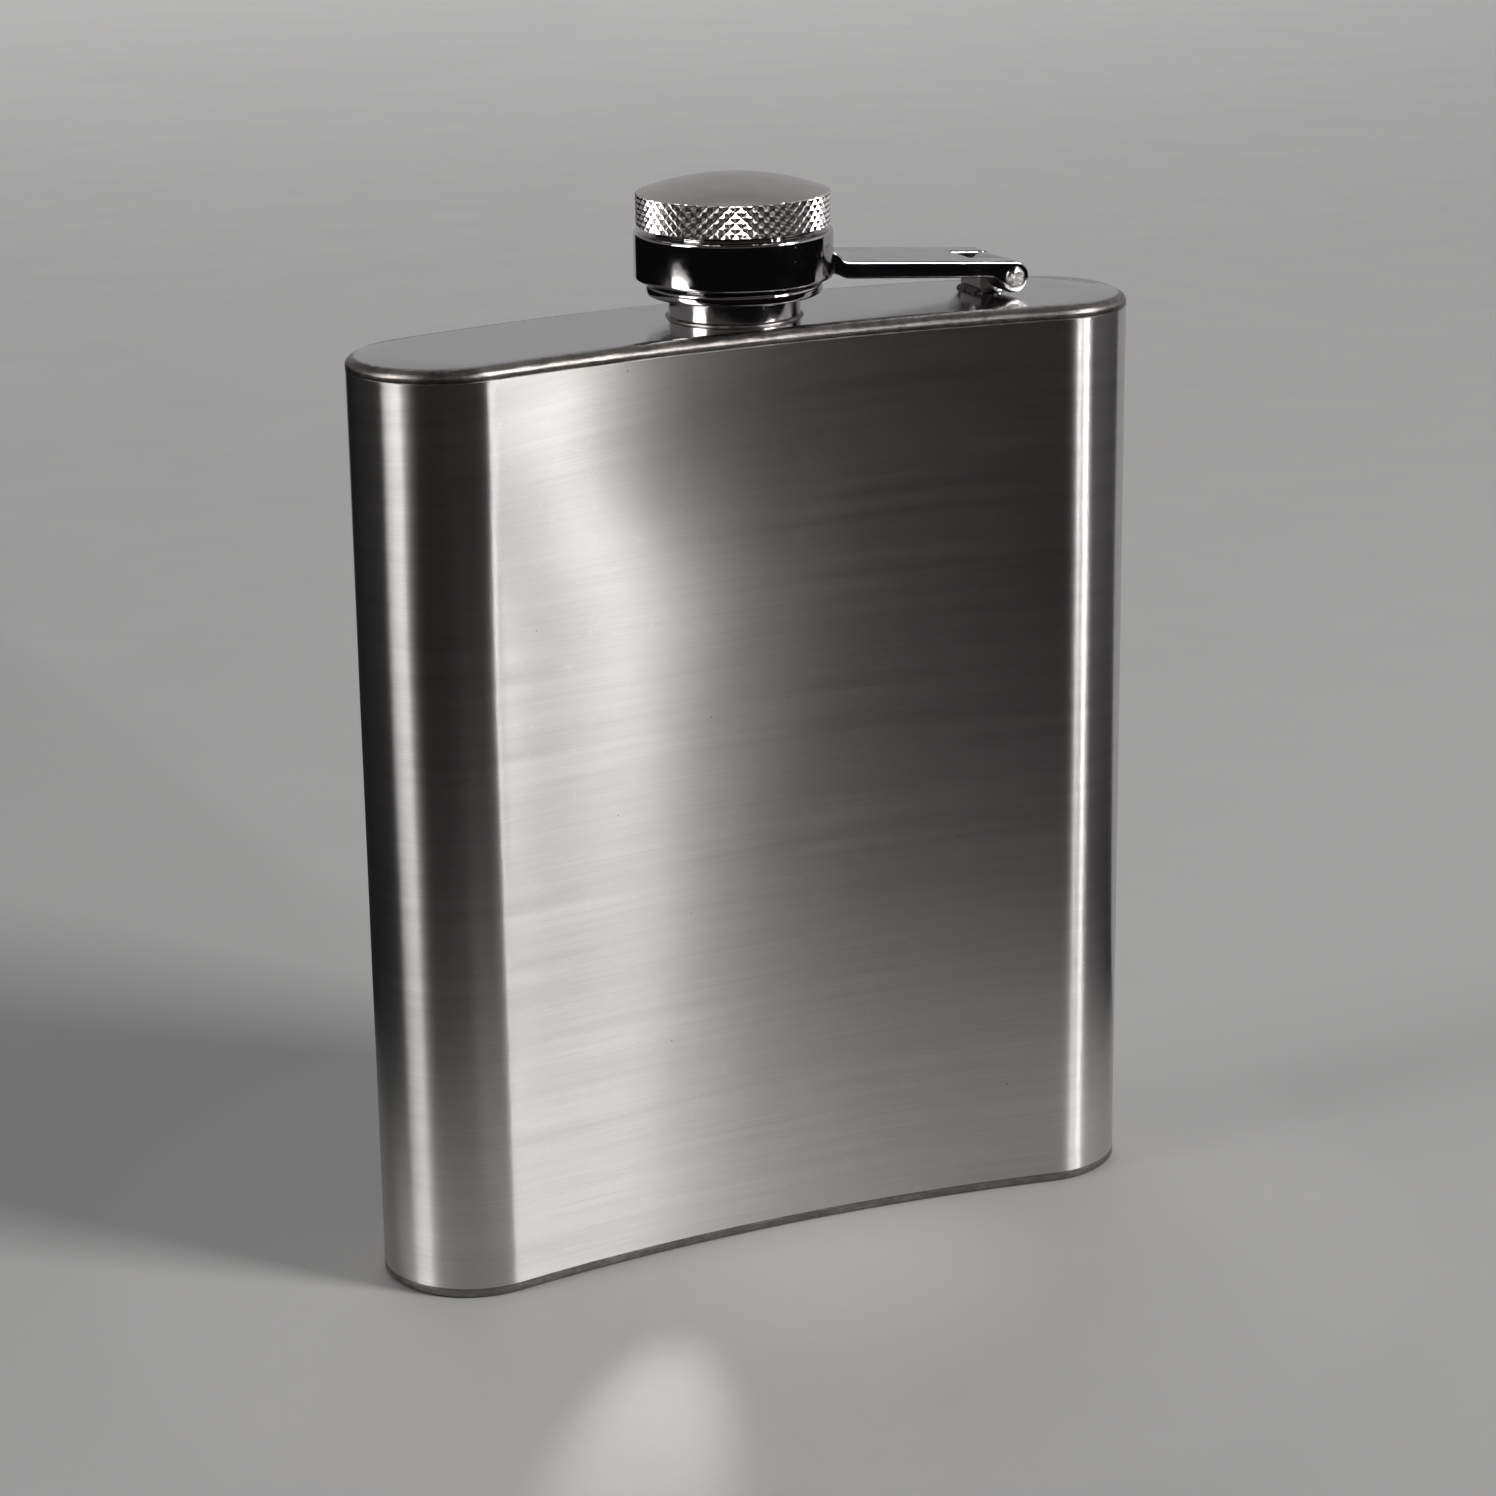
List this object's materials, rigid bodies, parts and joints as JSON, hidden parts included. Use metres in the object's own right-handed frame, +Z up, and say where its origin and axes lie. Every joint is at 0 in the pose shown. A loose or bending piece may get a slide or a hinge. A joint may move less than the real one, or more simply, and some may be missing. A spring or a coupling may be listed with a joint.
{
  "type": "hip flask",
  "caption": "Slim curved stainless hip flask with a kidney section, threaded neck and a knurled screw cap held captive on a hinged arm.",
  "frame": {"origin": "bottom centre of the bounding box, on the flat foot", "axes": "+X across the width towards the hinge, +Y towards the convex back (the concave side faces -Y), +Z up along the neck"},
  "size_m": [0.094, 0.0252, 0.1227],
  "materials": {
    "body_brushed": "horizontally brushed stainless steel",
    "plate_satin": "rolled bright, nearly mirror, with a ground rim",
    "weld_steel": "weld metal, ground flush and slightly rough",
    "neck_steel": "turned and polished stainless steel",
    "arm_steel": "cast and polished stainless steel",
    "pin_steel": "peened rivet, polished",
    "cap_steel": "turned and knurled stainless steel, satin on top",
    "gasket_rubber": "translucent white silicone rubber"
  },
  "bodies": {
    "flask": {"body_shell": "body_brushed", "side_seam_weld": "body_brushed", "top_plate": "plate_satin", "top_rim_weld": "weld_steel", "bottom_plate": "plate_satin", "bottom_rim_weld": "weld_steel", "neck_tube": "neck_steel", "neck_weld": "weld_steel", "hinge_bracket": "arm_steel", "bracket_weld": "weld_steel"},
    "arm": {"captive_arm": "arm_steel", "hinge_pin": "pin_steel"},
    "cap": {"cap_head": "cap_steel", "cap_insert": "arm_steel", "cap_gasket": "gasket_rubber"}
  },
  "joints": [
    {"name": "arm_swing", "type": "hinge", "parent": "flask", "child": "arm", "pos_m": [0.0328, 0.0014, 0.10905], "axis": [0, 1, 0], "range_deg": [0, 175]},
    {"name": "cap_turn", "type": "hinge", "parent": "arm", "child": "cap", "pos_m": [0, 0.0014, 0.1171], "axis": [0, 0, 1], "continuous": true}
  ]
}
